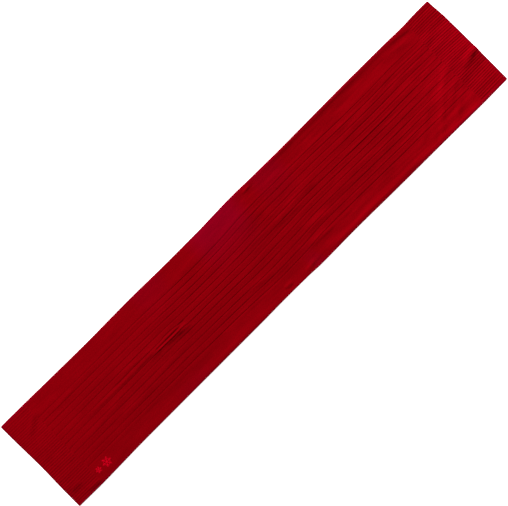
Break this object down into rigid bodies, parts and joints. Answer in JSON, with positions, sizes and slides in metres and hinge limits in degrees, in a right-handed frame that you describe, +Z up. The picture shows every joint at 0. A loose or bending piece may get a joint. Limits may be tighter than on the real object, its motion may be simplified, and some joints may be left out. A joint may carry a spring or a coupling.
{
  "type": "knitted scarf",
  "caption": "Long flat knitted scarf with wide lengthwise ribs, plain side bands, a finely ribbed cuff at each end and a small embroidered emblem.",
  "frame": {"origin": "middle of the underside of the scarf as it lies flat", "axes": "+X along the length, from the end with the emblem to the plain end; +Y across the width, away from the emblem's long edge; +Z up, out of the ribbed face"},
  "size_m": [1.64, 0.3, 0.0038],
  "materials": {
    "body_knit": "matt fine-gauge knit, dark red",
    "cuff_knit": "matt fine rib knit, dark red",
    "linking_yarn": "matt yarn, dark red",
    "emblem_thread": "glossy embroidery thread, bright red",
    "backing_felt": "matt pressed fibre, black",
    "label_weave": "close damask weave, blank",
    "care_satin": "satin ribbon, blank",
    "label_thread": "twisted sewing thread"
  },
  "bodies": {
    "outer_quarter_start": {"rib_cuff_start": "cuff_knit", "linked_edge_start": "linking_yarn", "body_panel_1": "body_knit", "emblem_large_snowflake": "emblem_thread", "emblem_small_snowflake": "emblem_thread", "emblem_backing": "backing_felt"},
    "inner_quarter_start": {"body_panel_2": "body_knit"},
    "inner_quarter_end": {"body_panel_3": "body_knit"},
    "outer_quarter_end": {"body_panel_4": "body_knit", "rib_cuff_end": "cuff_knit", "linked_edge_end": "linking_yarn", "brand_label": "label_weave", "care_label": "care_satin", "label_stitching": "label_thread"}
  },
  "joints": [
    {"name": "fold_start", "type": "hinge", "parent": "inner_quarter_start", "child": "outer_quarter_start", "pos_m": [-0.41, 0, 0.006], "axis": [0, 1, 0], "range_deg": [0, 179.9]},
    {"name": "fold_middle", "type": "hinge", "parent": "inner_quarter_start", "child": "inner_quarter_end", "pos_m": [0, 0, 0.013], "axis": [0, -1, 0], "range_deg": [0, 179.9]},
    {"name": "fold_end", "type": "hinge", "parent": "inner_quarter_end", "child": "outer_quarter_end", "pos_m": [0.41, 0, 0.006], "axis": [0, -1, 0], "range_deg": [0, 179.9]}
  ]
}
